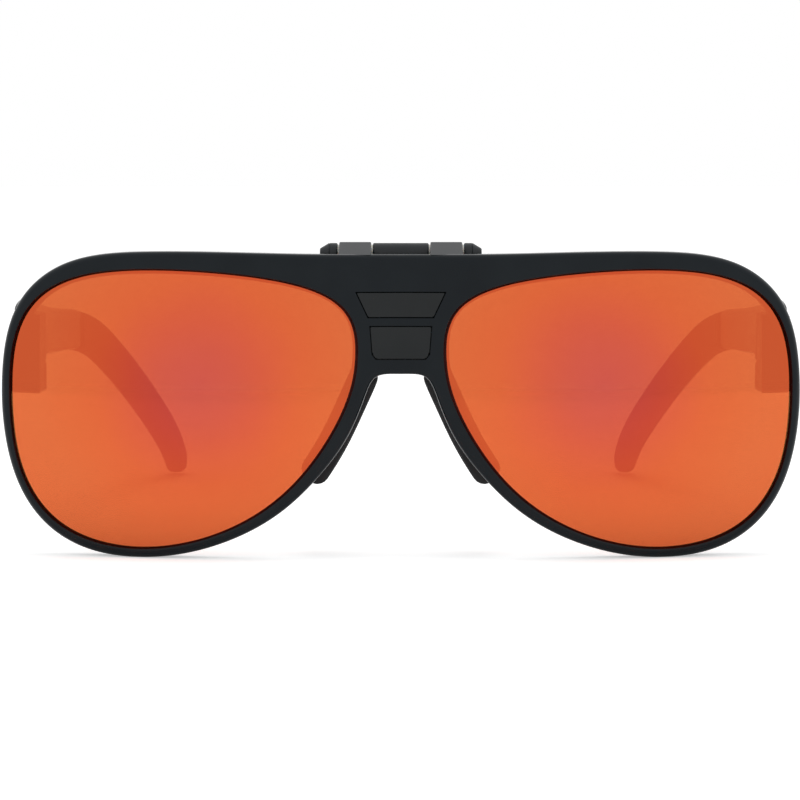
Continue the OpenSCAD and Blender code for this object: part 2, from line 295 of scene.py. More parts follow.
# %% Steel and nylon
def turned_steel():
    material, nodes, links, shader = start_finish("turned_steel")
    marks = object_noise(nodes, links, 1400, 4, stretch=(6, 1, 1))
    links.new(ramp(nodes, links, marks, [(0.3, (0.46, 0.47, 0.49)), (0.7, (0.63, 0.64, 0.66))]),
              shader.inputs["Base Color"])
    links.new(spread(nodes, links, marks, 0.22, 0.40), shader.inputs["Roughness"])
    bump(nodes, links, marks, 0.003, shader)
    shader.inputs["Metallic"].default_value = 1.0
    return material


def natural_nylon():
    material, nodes, links, shader = start_finish("natural_nylon")
    cloud = object_noise(nodes, links, 500, 3)
    links.new(ramp(nodes, links, cloud, [(0.3, (0.60, 0.58, 0.52)), (0.7, (0.74, 0.72, 0.66))]),
              shader.inputs["Base Color"])
    links.new(spread(nodes, links, cloud, 0.38, 0.5), shader.inputs["Roughness"])
    shader.inputs["Subsurface Weight"].default_value = 0.15
    shader.inputs["Subsurface Scale"].default_value = 0.0005
    return material


steel, nylon = turned_steel(), natural_nylon()

# %% [markdown]
# ## The mirror coating
#
# An orange mirror is a stack of thin clear layers over a dark tint. Most light bounces off it with an
# orange colour, a little gets through, so the temples show behind it as darker bands. Where the eye
# meets the layers straight on the colour shifts to crimson, which reads as a soft round glow. This
# shift is painted as a fixed reflection colour: the front face is part metal, part coloured glass,
# and its colour is a ramp over the distance from the glow's middle, measured on the lens itself.

# %% Lens finishes
GLOW_X, GLOW_Z, GLOW_R = 37.0, 32.5, 44.0
# Painted reflection colour, from the middle of the crimson glow outwards
MIRROR_TONES = [(0.00, (0.605, 0.066, 0.058)), (0.16, (0.632, 0.071, 0.050)), (0.27, (0.668, 0.077, 0.042)),
                (0.36, (0.698, 0.087, 0.037)), (0.46, (0.718, 0.098, 0.033)), (0.58, (0.720, 0.107, 0.034)),
                (0.72, (0.712, 0.115, 0.037))]
MIRROR_SHARE, UNEVEN = 0.82, 0.10


def mirror_coating(side):
    material, nodes, links, shader = start_finish("orange_mirror_" + ("left" if side > 0 else "right"))
    place = nodes.new("ShaderNodeTexCoord")
    from_glow = nodes.new("ShaderNodeMapping")
    from_glow.inputs["Location"].default_value = (-side * GLOW_X / GLOW_R, 0, -GLOW_Z / GLOW_R)
    from_glow.inputs["Scale"].default_value = (1 / (GLOW_R * MM), 0, 1 / (GLOW_R * MM))
    length = nodes.new("ShaderNodeVectorMath")
    length.operation = "LENGTH"
    uneven = nodes.new("ShaderNodeMath")
    uneven.operation = "MULTIPLY_ADD"
    uneven.inputs[1].default_value = UNEVEN
    links.new(place.outputs["Object"], from_glow.inputs["Vector"])
    links.new(from_glow.outputs["Vector"], length.inputs[0])
    links.new(object_noise(nodes, links, 60, 2), uneven.inputs[0])
    links.new(length.outputs["Value"], uneven.inputs[2])
    # The crimson middle is a painted reflection colour: the coating's shift where it faces the eye, fixed on
    # the lens
    tones = [(UNEVEN / 2 + (1 - UNEVEN / 2) * position, colour) for position, colour in MIRROR_TONES]
    links.new(ramp(nodes, links, uneven.outputs["Value"], tones), shader.inputs["Base Color"])
    links.new(spread(nodes, links, object_noise(nodes, links, 220, 4), 0.05, 0.09),
              shader.inputs["Roughness"])
    shader.inputs["Metallic"].default_value = MIRROR_SHARE
    shader.inputs["Transmission Weight"].default_value = 1.0
    shader.inputs["IOR"].default_value = 1.05
    return material


def lens_tint():
    """The lens's edge and back: amber, and clear enough to pass what the coating lets through."""
    material, nodes, links, shader = start_finish("lens_tint")
    links.new(ramp(nodes, links, object_noise(nodes, links, 80, 2),
                   [(0.3, (0.90, 0.92, 0.28)), (0.7, (0.94, 0.96, 0.33))]), shader.inputs["Base Color"])
    shader.inputs["Roughness"].default_value = 0.02
    shader.inputs["Transmission Weight"].default_value = 1.0
    shader.inputs["IOR"].default_value = 1.05
    return material


def painted_edge_shade():
    """Painted shade round a lens: a dark ring on its front face that stands in for the shade where the lens
    meets its groove.
    """
    material, nodes, links, shader = start_finish("painted_shade_lens_edge")
    # Painted shade: a dark red ring, a little uneven, where the groove shades the lens
    shade_noise = object_noise(nodes, links, 300, 3)
    links.new(ramp(nodes, links, shade_noise, [(0.3, (0.030, 0.003, 0.002)), (0.7, (0.075, 0.006, 0.003))]),
              shader.inputs["Base Color"])
    shader.inputs["Roughness"].default_value = 0.3
    shader.inputs["Specular IOR Level"].default_value = 0.08
    return material


# The second lens finish is the painted shade ring at each lens's edge
tint, edge_shade = lens_tint(), painted_edge_shade()
print("mirror glow reaches", GLOW_R, "mm from its middle")

# %% [markdown]
# ## Rings round a lens
#
# The front is a ring of moulding round each lens. Straight lines that leave the lens's edge at right
# angles never cross, so they make clean rows of quads out to the rim, and at the bridge out to the
# middle plane, where the two halves join. Rows are packed close beside the corners of the outline and
# along the rounded edges, so the gloss stays smooth.

# %% Where each row leaves the lens and where it ends
def ray_ends(start, direction, outer):
    """Distance from each start along its direction to the outer loop or to the plane x = 0."""
    a, b = outer, np.roll(outer, -1, 0)
    edge = b - a
    gap = a[None] - start[:, None]
    cross = direction[:, None, 0] * edge[None, :, 1] - direction[:, None, 1] * edge[None, :, 0]
    cross = np.where(np.abs(cross) < 1e-12, 1e-12, cross)
    reach = (gap[..., 0] * edge[None, :, 1] - gap[..., 1] * edge[None, :, 0]) / cross
    where = (gap[..., 0] * direction[:, None, 1] - gap[..., 1] * direction[:, None, 0]) / cross
    good = (reach > 1e-6) & (where >= -1e-9) & (where <= 1 + 1e-9)
    to_rim = np.where(good, reach, np.inf).min(1)
    to_middle = np.where(direction[:, 0] < -1e-6, -start[:, 0] / np.minimum(direction[:, 0], -1e-6), np.inf)
    return np.minimum(to_rim, to_middle), to_middle < to_rim


def edge_distance(points, loop):
    """Shortest distance from each point to a loop."""
    a, b = loop, np.roll(loop, -1, 0)
    edge = b - a
    t = ((points[:, None] - a[None]) * edge[None]).sum(2) / (edge ** 2).sum(1)[None]
    near = a[None] + np.clip(t, 0, 1)[..., None] * edge[None]
    return np.linalg.norm(points[:, None] - near, axis=2).min(1)


def rows_round_lens(outer, step=0.8, fillet_steps=(0.05, 0.15, 0.3, 0.5, 0.75, 1.05, 1.4)):
    """Starts, ends and middle flags of rows from the lens's edge to an outer loop that crosses x = 0."""
    dense = smooth_loop(LENS_POINTS, 150)
    normal = left_normals(dense)
    reach, at_middle = ray_ends(dense, normal, outer)
    end = dense + normal * reach[:, None]
    keep = np.concatenate([[True], np.linalg.norm(np.diff(end, axis=0), axis=1) > 1e-5])
    dense, end, at_middle = dense[keep], end[keep], at_middle[keep]
    first = int(np.argmax(~at_middle & np.roll(at_middle, 1)))
    dense, end, at_middle = (np.roll(v, -first, 0) for v in (dense, end, at_middle))
    rim = int(np.argmax(at_middle))
    top, foot = (np.array([0, z]) for z in middle_crossings(outer))
    rim_path = np.vstack([[top], end[:rim], [foot]])
    rim_start = np.vstack([[dense[-1]], dense[:rim], [dense[rim]]])
    middle_path, middle_start = end[rim:], dense[rim:]
    length = np.concatenate([[0], np.cumsum(np.linalg.norm(np.diff(rim_path, axis=0), axis=1))])
    count = int(length[-1] / step)
    stations = np.linspace(0, length[-1], count + 1)
    rim_rows = [(interpolate(rim_start, length, s), interpolate(rim_path, length, s), False)
                for s in stations]
    heights = list(np.arange(foot[1] + step, top[1] - 0.5 * step, step))
    heights += [foot[1] + d for d in fillet_steps] + [top[1] - d for d in fillet_steps]
    middle_rows = []
    for z in sorted(set(round(h, 4) for h in heights)):
        k = np.interp(z, middle_path[:, 1], np.arange(len(middle_path)))
        start = interpolate(middle_start, np.arange(len(middle_start)), k)
        middle_rows.append((start, np.array([0, z]), True))
    return rim_rows + middle_rows


def interpolate(points, at, value):
    return np.array([np.interp(value, at, points[:, k]) for k in range(2)])


def middle_crossings(outer):
    """The highest and lowest z at which an outer loop crosses x = 0."""
    crossings = [a[1] + (b[1] - a[1]) * a[0] / (a[0] - b[0] + 1e-12)
                 for a, b in zip(outer, np.roll(outer, -1, 0)) if a[0] * b[0] < 0 or abs(a[0]) < 1e-9]
    return max(crossings), min(crossings)


front_rows = rows_round_lens(FRONT_EDGE)
print(len(front_rows), "rows,", sum(row[2] for row in front_rows), "of them across the bridge")

# %% [markdown]
# ## The front moulding
#
# Every row gets the same section: the front face, the rim's outer wall, the back face and the bore
# with the groove that holds the lens. Both faces fall away near an edge as a true round does, by the
# real distance to the edge, so the round keeps its radius where a row meets the rim at a slant.

# %% Front shell
RIM_ROUND, BORE_ROUND, BACK_ROUND = 0.9, 0.45, 0.4
GROOVE = (WRAP_R - LENS_SINK + 0.02, WRAP_R - LENS_SINK - LENS_T - 0.02)


def rounding(distance, radius):
    """How far a rounded edge lies below the face at that distance from the edge."""
    reach = np.clip(radius - distance, 0, radius)
    return radius - np.sqrt(radius ** 2 - reach ** 2)


def row_points(start, end):
    """Points from the lens's edge to the end of a row, close together in both rounds."""
    span = np.linalg.norm(end - start)
    along = (end - start) / span
    slant = edge_distance((end - 0.3 * along)[None], FRONT_EDGE)[0] / 0.3
    near = BORE_ROUND * np.array([0, 0.08, 0.22, 0.42, 0.7, 1])
    far = RIM_ROUND * np.array([1, 0.7, 0.42, 0.22, 0.08, 0]) / max(slant, 0.5)
    between = np.linspace(near[-1], span - far[0], 9)[1:-1]
    stations = np.concatenate([near, between, span - far])
    return start + stations[:, None] * along, stations


def add_front_shell(bm):
    sections = []
    for start, end, middle in front_rows:
        points, to_lens = row_points(start, end)
        to_rim = edge_distance(points, FRONT_EDGE)
        front = WRAP_R - rounding(to_lens, BORE_ROUND) - rounding(to_rim, RIM_ROUND)
        back = WRAP_R - FRONT_T + rounding(to_lens, BACK_ROUND) + rounding(to_rim, BACK_ROUND)
        outward = (end - start) / np.linalg.norm(end - start)
        deep = start + (LENS_GRIP + 0.02) * outward
        groove = np.array([start, deep, deep, start])
        place = np.vstack([points, points[::-1], groove])
        radius = np.concatenate([front, back[::-1], [GROOVE[1]] * 2, [GROOVE[0]] * 2])
        y = face_y(place[:, 0], place[:, 1], radius)
        sections.append([bm.verts.new((p[0], v, p[1])) for p, v in zip(place, y)])
    across = len(points)
    stitch(bm, [s[:across] for s in sections], closed_rows=True)
    stitch(bm, [s[across:] + s[:1] for s in sections], closed_rows=True)
    rim = [s[across - 1:across + 1] for s, row in zip(sections, front_rows) if not row[2]]
    stitch(bm, rim)
    mirror_half(bm)


# %% [markdown]
# ## Parts turned about an axis
#
# Hinge lugs and knuckles are plates whose outline grows out of a round barrel. Each is lofted along
# its axis from rings that start and end at the bore, so every one has a real hole for its pin.

# %% Barrel parts
def barrel_reach(outline, radius, angles):
    """How far the outline, or the barrel if that is larger, reaches from the axis."""
    rays = np.stack([np.cos(angles), np.sin(angles)], 1)
    reach = np.full(len(angles), float(radius))
    a = np.array(outline, float)
    for p, q in zip(a, np.roll(a, -1, 0)):
        edge = q - p
        cross = rays[:, 0] * edge[1] - rays[:, 1] * edge[0]
        cross = np.where(np.abs(cross) < 1e-9, 1e-9, cross)
        distance = (p[0] * edge[1] - p[1] * edge[0]) / cross
        share = (p[0] * rays[:, 1] - p[1] * rays[:, 0]) / cross
        hit = (distance > 1e-6) & (share >= -1e-6) & (share <= 1 + 1e-6)
        reach = np.where(hit, np.maximum(reach, distance), reach)
    return reach


def barrel_angles(outline, steps=56):
    corners = [math.atan2(b, a) % math.tau for a, b in outline if math.hypot(a, b) > 0.1]
    even = [math.tau * k / steps for k in range(steps)]
    return np.array(sorted(corners + [a for a in even if all(abs(a - c) > 0.04 for c in corners)]))


def barrel_part(bm, place, outline, radius, start, stop, bore, round_edge=0.25, tail=()):
    """A plate and barrel from start to stop along the axis. place turns (a, b, along) into a point,
    and tail adds rings beyond stop, as (position, radius)."""
    angles = barrel_angles(outline)
    reach = barrel_reach(outline, radius, angles)
    hole = np.full(len(angles), bore)
    rings = [(start, hole)]
    rings += [(start + round_edge * (1 - math.cos(t)), reach - round_edge * (1 - math.sin(t)))
              for t in np.radians([0, 30, 60, 90])]
    rings += [(stop - round_edge * (1 - math.cos(t)), reach - round_edge * (1 - math.sin(t)))
              for t in np.radians([90, 60, 30, 0])]
    if tail:
        rings[-1] = (stop, np.maximum(rings[-1][1], tail[0][1]))
    rings += [(position, np.full(len(angles), r)) for position, r in tail]
    rings.append((rings[-1][0], hole))
    skin = [[bm.verts.new(place(r * math.cos(t), r * math.sin(t), along)) for r, t in zip(ring, angles)]
            for along, ring in rings]
    stitch(bm, skin, closed_rows=True, closed_columns=True)


def on_flip_axis(side):
    return lambda back, up, along: (side * along, FLIP_Y + back, FLIP_Z + up)


def on_temple_axis(side):
    return lambda out, back, along: (side * (PIVOT_X + out), PIVOT_Y + back, along)


LUG = [(-6.9, -3.4), (-6.9, 0), (-0.75, 2.06), (0, 0), (-0.6, -2.1), (-2.4, -2.2), (-4.4, -2.9)]
LUG_FROM, LUG_TO, LUG_R, PIN_BORE = 5.5, 11.5, 2.2, 0.8

# %% [markdown]
# ## Pressed plates
#
# The brow bar, the two bridge panels and the pockets for them are flat outlines pressed onto the
# curved face. The plate is filled with triangles between loops of points that follow its edge, and
# the edge is rounded by the same rule as the front's.

# %% Plates between two faces
def resample(loop, step):
    """Evenly spaced points along each straight or nearly straight stretch, corners kept."""
    points = []
    for a, b in zip(loop, np.roll(loop, -1, 0)):
        count = max(1, int(round(np.linalg.norm(b - a) / step)))
        points += [a + (b - a) * k / count for k in range(count)]
    return np.array(points)


def inside(points, loop):
    x, z = points[:, None, 0], points[:, None, 1]
    a, b = loop[None], np.roll(loop, -1, 0)[None]
    spans = (a[..., 1] > z) != (b[..., 1] > z)
    rise = np.where(b[..., 1] == a[..., 1], 1e-12, b[..., 1] - a[..., 1])
    crossing = a[..., 0] + (z - a[..., 1]) * (b[..., 0] - a[..., 0]) / rise
    return (spans & (x < crossing)).sum(1) % 2 == 1


def pressed_plate(bm, outline, outer_r, inner_r, edge_round=0.3, step=0.7, grid=1.4):
    border = resample(np.array(outline, float), step)
    area = (border[:, 0] * np.roll(border[:, 1], -1) - border[:, 1] * np.roll(border[:, 0], -1)).sum()
    inward = left_normals(border) * (1 if area > 0 else -1)
    points = [border]
    for share in (0.12, 0.35, 0.7, 1.0) if edge_round else ():
        loop = border + share * edge_round * inward
        points.append(loop[edge_distance(loop, border) > 0.96 * share * edge_round])
    low, high = border.min(0), border.max(0)
    lattice = np.array([(x + (row % 2) * grid / 2, z)
                        for row, z in enumerate(np.arange(low[1], high[1], grid * 0.87))
                        for x in np.arange(low[0], high[0], grid)])
    lattice = lattice[inside(lattice, border)]
    points.append(lattice[edge_distance(lattice, border) > edge_round + 0.35 * grid])
    ring = [(k, (k + 1) % len(border)) for k in range(len(border))]
    flat, _, triangles, *_ = delaunay_2d_cdt([Vector(p) for p in np.vstack(points)], ring, [], 0, 1e-5)
    flat = np.array([(p.x, p.y) for p in flat])
    triangles = [t for t in triangles if inside(flat[list(t)].mean(0)[None], border)[0]]
    fall = rounding(edge_distance(flat, border), edge_round) if edge_round else np.zeros(len(flat))
    skins = []
    for radius, turn in ((outer_r - fall, 1), (inner_r + fall, -1)):
        y = face_y(flat[:, 0], flat[:, 1], radius)
        skins.append([bm.verts.new((p[0], v, p[1])) for p, v in zip(flat, y)])
        for t in triangles:
            bm.faces.new([skins[-1][k] for k in t[::turn]])
    uses = {}
    for t in triangles:
        for a, b in zip(t, t[1:] + t[:1]):
            uses.setdefault(frozenset((a, b)), []).append((a, b))
    for a, b in (pair[0] for pair in uses.values() if len(pair) == 1):
        bm.faces.new([skins[0][b], skins[0][a], skins[1][a], skins[1][b]])
    bmesh.ops.delete(bm, geom=[v for v in bm.verts if not v.link_faces], context="VERTS")


UPPER_PANEL = [(-8.4, 49.2), (8.4, 49.2), (6.1, 44.4), (-6.1, 44.4)]
LOWER_PANEL = [(-5.8, 43), (5.8, 43), (5.4, 37.8), (4.6, 36.8), (-4.6, 36.8), (-5.4, 37.8)]
PANEL_DEPTH, PANEL_FIT = 1.0, 0.15


def shrink(outline, d):
    """A convex clockwise outline moved inwards by d."""
    p = np.array(outline, float)
    before, after = p - np.roll(p, 1, 0), np.roll(p, -1, 0) - p
    before, after = (v / np.linalg.norm(v, axis=1)[:, None] for v in (before, after))
    n0, n1 = (np.stack([v[:, 1], -v[:, 0]], 1) for v in (before, after))
    return p + d * (n0 + n1) / (1 + (n0 * n1).sum(1))[:, None]


def cut(piece, bm):
    """Takes a closed mesh, given in millimetres, out of a piece."""
    bmesh.ops.scale(bm, vec=(MM, MM, MM), verts=bm.verts)
    bmesh.ops.recalc_face_normals(bm, faces=bm.faces)
    mesh = bpy.data.meshes.new("cutter")
    bm.to_mesh(mesh)
    bm.free()
    cutter = bpy.data.objects.new("cutter", mesh)
    bpy.context.scene.collection.objects.link(cutter)
    modifier = piece.modifiers.new("cut", "BOOLEAN")
    modifier.operation, modifier.solver, modifier.object = "DIFFERENCE", "EXACT", cutter
    bpy.context.view_layer.update()
    result = bpy.data.meshes.new_from_object(piece.evaluated_get(bpy.context.evaluated_depsgraph_get()))
    piece.modifiers.clear()
    old, piece.data = piece.data, result
    result.name = piece.name
    bpy.data.meshes.remove(old)
    bpy.data.objects.remove(cutter)
    bpy.data.meshes.remove(mesh)


# %% Build the front
bm = bmesh.new()
add_front_shell(bm)
for side in (-1, 1):
    barrel_part(bm, on_flip_axis(side), LUG, LUG_R, LUG_FROM, LUG_TO, PIN_BORE)
front = new_piece("front_moulding", bm, "flip_front", gloss_black, ["front_frame"])
for outline in (UPPER_PANEL, LOWER_PANEL):
    pocket = bmesh.new()
    pressed_plate(pocket, outline, WRAP_R + 1, WRAP_R - PANEL_DEPTH, 0)
    cut(front, pocket)
front.data.set_sharp_from_angle(angle=math.radians(35))
print("front after its pockets:", len(front.data.polygons), "faces")

# %% Bridge panels
for name, outline in (("upper", UPPER_PANEL), ("lower", LOWER_PANEL)):
    bm = bmesh.new()
    pressed_plate(bm, shrink(outline, PANEL_FIT), WRAP_R - 0.1, WRAP_R - PANEL_DEPTH, 0.12, 0.5, 0.8)
    new_piece("bridge_panel_" + name, bm, "flip_front", panel_black, ["bridge_inlay_" + name])

# %% [markdown]
# ## Lenses
#
# A lens is a slice of a ball, 2 mm thick, that reaches 0.9 mm into the groove. Its front wears the
# mirror coating inside a narrow ring of painted shade, which is a little wider towards the nose. Its back
# and edge have the amber tint.

# %% Lenses
SIDES = (("left", 1), ("right", -1))
# Width of the painted shade ring at a lens's edge, and how much wider it gets on the nose side
SHADE_RING_W, NOSE_SHADE_RING_W = 0.22, 0.22


def add_lens(bm):
    """Rings from the middle to the ring of painted shade, then out into the groove, on the front and on the
    back.
    """
    edge = smooth_loop(LENS_POINTS, 12)
    outward = left_normals(edge)
    coated = edge - outward * (SHADE_RING_W + NOSE_SHADE_RING_W * np.maximum(-outward[:, :1], 0))
    centre = coated.mean(0)
    loops = [centre + share * (coated - centre) for share in np.linspace(0, 1, 27)[1:]]
    loops += [edge, edge + outward * LENS_GRIP]
    skins = []
    for radius in (WRAP_R - LENS_SINK, WRAP_R - LENS_SINK - LENS_T):
        rings = []
        for loop in loops:
            y = face_y(loop[:, 0], loop[:, 1], radius)
            rings.append([bm.verts.new((p[0], v, p[1])) for p, v in zip(loop, y)])
        pole = bm.verts.new((centre[0], float(face_y(*centre, radius)), centre[1]))
        for a, b in zip(rings[0], rings[0][1:] + rings[0][:1]):
            bm.faces.new([pole, a, b])
        stitch(bm, rings[:-2], closed_columns=True)
        if not skins:
            coated_faces = len(bm.faces)
        stitch(bm, rings[-3:], closed_columns=True)
        if not skins:
            front_faces = len(bm.faces)
        skins.append(rings)
    stitch(bm, [skins[0][-1], skins[1][-1]], closed_columns=True)
    # Index 2 is the ring of painted shade at the lens's edge
    for k, face in enumerate(bm.faces):
        face.material_index = 0 if k < coated_faces else 2 if k < front_faces else 1


for name, side in SIDES:
    bm = bmesh.new()
    add_lens(bm)
    if side < 0:
        flip_sides(bm)
    lens = new_piece("mirror_lens_" + name, bm, "flip_front", mirror_coating(side), ["lens_" + name])
    lens.data.materials.append(tint)
    # The painted shade ring's finish
    lens.data.materials.append(edge_shade)

# %% [markdown]
# ## The brow bar
#
# The bar is the front's upper part made a little smaller, 4.5 mm further back. Its lower edge hangs
# just inside the lens openings, a stem runs down the bridge to the nose pads, and its middle is
# notched to let the flip hinge through. Solid end pieces carry the forks of the temple hinges.

# %% Brow bar
BAR_R = WRAP_R - FRONT_T - BAR_GAP
BAR_INSET, BAR_FOOT, STEM_FOOT, NOTCH_Z, NOTCH_X = 1.0, 32.0, 34.6, FLIP_Z - 3, 16.0
MID_KNUCKLE, END_KNUCKLE, KNUCKLE_R = 5.2, 11.8, 2.0
END_PLATE = END_KNUCKLE + 1.6
HINGE_END = END_KNUCKLE + 3.3
BAR_ARM = [(-1.95, 0.3), (-2.7, -3.2), (-2.7, -6), (0.8, -6), (1.95, 0)]
FORK = [(-1.9, -3), (-1.9, 0), (0, 1.9), (1.9, 0), (1.9, -0.25), (2.6, -0.25), (2.6, -3)]
FORK_R, RELIEF_R = 1.9, 2.05
FORK_LOW, FORK_HIGH, TONGUE_LOW, TONGUE_HIGH, WASHER_GAP = 30.0, 44.6, 35.5, 42.0, 0.3
SCREW_R, HEAD_R, HEAD_H = 0.7, 1.4, 0.8


def bar_half():
    """Half of the bar's outline, from the notch's middle out, down, back over the lens and the nose."""
    rim = FRONT_EDGE - left_normals(FRONT_EDGE) * BAR_INSET
    bore = LENS_EDGE - left_normals(LENS_EDGE) * BAR_INSET
    rim = rim[rim[:, 0] > 0]
    foot = int(np.argmax(rim[:, 1] < BAR_FOOT))
    over = [p for p in rim[:foot] if p[0] > NOTCH_X]
    lens_low = int(np.argmin(np.hypot(bore[:, 0] - bore[:, 0].max(), bore[:, 1] - BAR_FOOT)))
    around = np.roll(bore, -lens_low, 0)[::-1]
    around = around[:int(np.argmax((around[:, 1] < STEM_FOOT) & (around[:, 0] < 20)))]
    around = around[around[:, 1] > BAR_FOOT]
    arch = [p for p in rim[foot:] if p[1] > STEM_FOOT and p[0] < 10]
    return [(0, NOTCH_Z), (NOTCH_X, NOTCH_Z)] + over + list(around) + arch


def add_end_piece(bm, side):
    """The block between the bar's end and the temple hinge, its front following the bar's face."""
    butt = PIVOT_Y - 0.25
    plan = [(67.1, FRONT_Y), (72.4, FRONT_Y), (73, butt), (71.3, butt), (71.3, PIVOT_Y - 2.3),
            (67.1, PIVOT_Y - 2.3)]
    plan = resample(np.array(plan), 0.7)
    middle = np.array([70, FRONT_Y + 14])
    rings = []
    for z, inset in ((FORK_LOW, 0.5), (FORK_LOW + 0.15, 0.25), (FORK_LOW + 0.5, 0), (FORK_LOW + 5, 0),
                     (FORK_LOW + 10, 0), (FORK_HIGH - 0.5, 0), (FORK_HIGH - 0.15, 0.25), (FORK_HIGH, 0.5)):
        towards = middle - plan
        loop = plan + inset * towards / np.linalg.norm(towards, axis=1)[:, None]
        y = np.maximum(loop[:, 1], face_y(loop[:, 0], z, BAR_R - inset))
        rings.append([bm.verts.new((side * p[0], v, z)) for p, v in zip(loop, y)])
    stitch(bm, rings, closed_columns=True)
    for ring in (rings[0], rings[-1]):
        bm.faces.new(ring)


bm = bmesh.new()
half = bar_half()
pressed_plate(bm, half + [(-x, z) for x, z in reversed(half[1:])], BAR_R, BAR_R - BAR_T, 0.45)
barrel_part(bm, on_flip_axis(1), BAR_ARM, KNUCKLE_R, -MID_KNUCKLE, MID_KNUCKLE, PIN_BORE - 0.05)
for side in (-1, 1):
    barrel_part(bm, on_flip_axis(side), BAR_ARM, KNUCKLE_R, END_KNUCKLE, END_PLATE, PIN_BORE - 0.05,
                tail=[(END_PLATE, KNUCKLE_R), (HINGE_END - 0.25, 1.12), (HINGE_END - 0.07, 1.0),
                      (HINGE_END, 0.86)])
    add_end_piece(bm, side)
    barrel_part(bm, on_temple_axis(side), FORK, FORK_R, FORK_LOW, TONGUE_LOW - WASHER_GAP, SCREW_R)
    barrel_part(bm, on_temple_axis(side), FORK, FORK_R, TONGUE_HIGH + WASHER_GAP, FORK_HIGH, SCREW_R,
                tail=[(FORK_HIGH, HEAD_R), (FORK_HIGH - HEAD_H, HEAD_R)])
new_piece("brow_bar_moulding", bm, "chassis", satin_black, ["brow_bar"])

# %% [markdown]
# ## Lofts
#
# Nose pads, temple arms and ear sleeves are lofted: rings of points with rounded corners, placed
# along a smooth line and closed by a small dome at each end.

# %% Rings and skins
def rounded_ring(half_a, half_b, corner, n=5):
    """Points round a rectangle with rounded corners."""
    corner = min(corner, half_a, half_b)
    ring = []
    for quarter, (sa, sb) in enumerate(((1, 1), (-1, 1), (-1, -1), (1, -1))):
        for k in range(n + 1):
            t = math.radians(90 * (quarter + k / n))
            ring.append((sa * (half_a - corner) + corner * math.cos(t),
                         sb * (half_b - corner) + corner * math.sin(t)))
    return np.array(ring)


def loft(bm, rings):
    skins = [[bm.verts.new(p) for p in ring] for ring in rings]
    stitch(bm, skins, closed_columns=True)
    for ring in (skins[0], skins[-1]):
        bm.faces.new(ring)


def path_frames(line):
    """Unit tangents of a line of points."""
    tangent = np.gradient(line, axis=0)
    return tangent / np.linalg.norm(tangent, axis=1)[:, None]


# %% Nose pads
PAD_POINTS = [(5, 37), (6.1, 33.2), (8.1, 29), (9.9, 25), (12.2, 20.4), (15.4, 15.4), (18, 12)]
PAD_HALF_W, PAD_FRONT, PAD_BACK, PAD_SPLAY, PAD_SWING_X = 2.3, 8.0, 18.0, math.radians(8), 8.0


def add_nose_pad(bm):
    """A flat soft band on edge, with round ends, opened towards the face."""
    line = smooth_line(PAD_POINTS, 8)
    along = path_frames(line)
    domes = PAD_HALF_W * np.sin(np.radians([80, 60, 38, 18]))
    line = np.vstack([line[0] - domes[:, None] * along[0], line, line[-1] + domes[::-1, None] * along[-1]])
    ends = np.sqrt(np.maximum(1 - (domes / PAD_HALF_W) ** 2, 0))
    share = np.concatenate([ends, np.ones(len(along)), ends[::-1]])
    along = np.vstack([[along[0]] * 4, along, [along[-1]] * 4])
    middle, half_depth = (PAD_FRONT + PAD_BACK) / 2, (PAD_BACK - PAD_FRONT) / 2
    rings = []
    for point, direction, width in zip(line, along, share):
        ring = rounded_ring(PAD_HALF_W * width, half_depth - 1.2 * (1 - width), 1.7 * width + 0.02, 6)
        x = point[0] - ring[:, 0] * direction[1]
        z = point[1] + ring[:, 0] * direction[0]
        back = middle + ring[:, 1] - PAD_FRONT
        turned_x = PAD_SWING_X + (x - PAD_SWING_X) * math.cos(PAD_SPLAY) + back * math.sin(PAD_SPLAY)
        turned_y = FRONT_Y + PAD_FRONT - (x - PAD_SWING_X) * math.sin(PAD_SPLAY) + back * math.cos(PAD_SPLAY)
        y = np.maximum(turned_y, FRONT_Y + PAD_FRONT)
        rings.append(list(zip(turned_x, y, z)))
    loft(bm, rings)


for name, side in SIDES:
    bm = bmesh.new()
    add_nose_pad(bm)
    if side < 0:
        flip_sides(bm)
    new_piece("nose_pad_soft_" + name, bm, "chassis", soft_rubber, ["nose_pad_" + name])

# %% [markdown]
# ## Temples
#
# A temple is a hard arm up to 73 mm behind the front, then a soft sleeve over a steel core that
# curves down behind the ear. Seen from above both follow one line, bowed outwards and then in.

# %% Temple lines
ARM_SIDE = [(16, 49), (16, 28.5), (30, 31.2), (42, 35.4), (56, 34.4), (66, 34.6), (79, 33.4), (79, 42),
            (66, 42.8), (50, 44), (34, 45.8)]
SLEEVE_SIDE = [(60, 38.8), (73, 38.2), (86, 36), (98, 31.2), (110, 25.2), (122, 17.6), (134, 9),
               (141.2, 3.8), (148.4, -1.4)]
TEMPLE_PLAN = [(6, 71.1), (21, 71.2), (36, 71.7), (52, 71), (70, 68.6), (85, 65.9), (97, 63.4),
               (110, 60.2), (122, 56.6), (134, 53), (144, 52), (160, 51.6)]
ARM_T, SLEEVE_T, SLEEVE_FROM, SLEEVE_HALF_H = 3.6, 4.6, 73.0, (4.1, 3.3)
TIP_BACK, TIP_Z, CORD_HOLE_R = 141.2, 3.35, 1.1
BUTT = PIVOT_Y - 0.15 - FRONT_Y
TONGUE = [(0, -0.15), (3.4, -0.15), (3.4, 1.75), (0, 1.75)]

plan_line = smooth_line(TEMPLE_PLAN, 12)
plan_angle = np.unwrap(np.arctan2(*np.gradient(plan_line, axis=0).T[::-1]))


def plan_place(back, aside):
    """x and y at a distance back along the temple and a distance aside from its middle line."""
    x = np.interp(back, plan_line[:, 0], plan_line[:, 1])
    turn = np.interp(back, plan_line[:, 0], plan_angle)
    return x + aside * np.cos(turn), FRONT_Y + back - aside * np.sin(turn)


